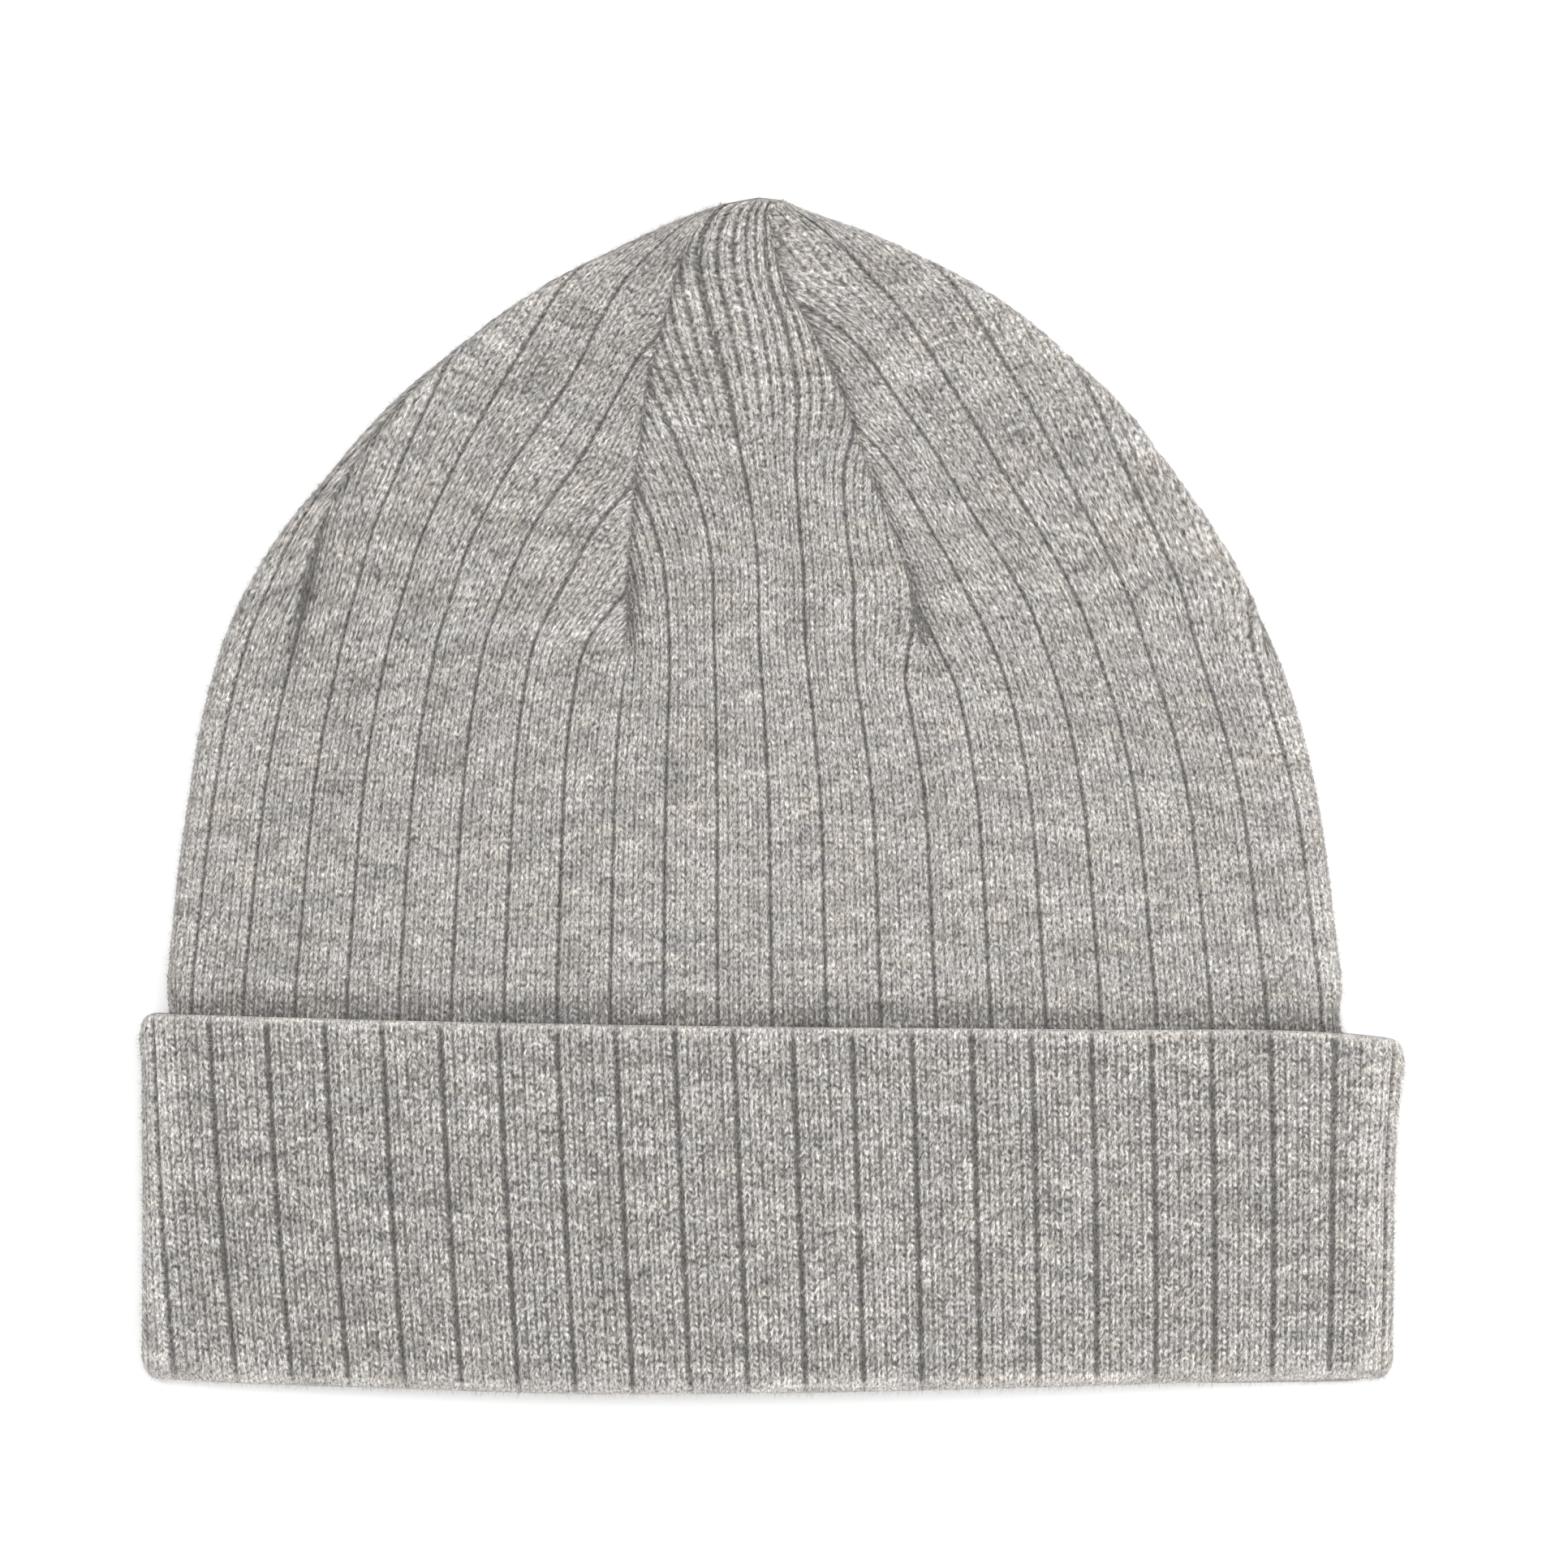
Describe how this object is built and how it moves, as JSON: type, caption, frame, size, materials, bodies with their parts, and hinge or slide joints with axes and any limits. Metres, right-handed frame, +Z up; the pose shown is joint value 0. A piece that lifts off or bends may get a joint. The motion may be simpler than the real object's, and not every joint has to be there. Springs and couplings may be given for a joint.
{
  "type": "knit beanie",
  "caption": "Wide-rib knit beanie with a deep turned-up cuff, laid flat: a doubled knit dome, drawn in at the crown by linked darts, open at the rim.",
  "frame": {"origin": "on the surface the hat lies on, under the centre of its bounding box", "axes": "+Z up through the hat's thickness, away from the back layer; +Y from the rim and its cuff towards the crown tip; +X to the right, seen from above with the crown away from the viewer"},
  "size_m": [0.228, 0.215, 0.0174],
  "materials": {
    "rib_knit": "heather grey fine-gauge wide-rib knit, matt and slightly fuzzy",
    "seam_thread": "matt linking yarn in the knit's own grey",
    "label_satin": "blank white satin ribbon"
  },
  "bodies": {
    "body": {"knit_body": "rib_knit", "crown_tie": "seam_thread", "back_seam": "seam_thread", "care_label": "label_satin", "dart_seam_front_left": "seam_thread", "dart_seam_front_right": "seam_thread", "dart_seam_side_left": "seam_thread", "dart_seam_side_right": "seam_thread", "dart_seam_back_left": "seam_thread", "dart_seam_back_right": "seam_thread"},
    "cuff": {"turned_up_cuff": "rib_knit", "cuff_back_seam": "seam_thread"}
  },
  "joints": [
    {"name": "cuff_turn_down", "type": "slide", "parent": "body", "child": "cuff", "axis": [0, -1, 0], "range_m": [0, 0.055]}
  ]
}
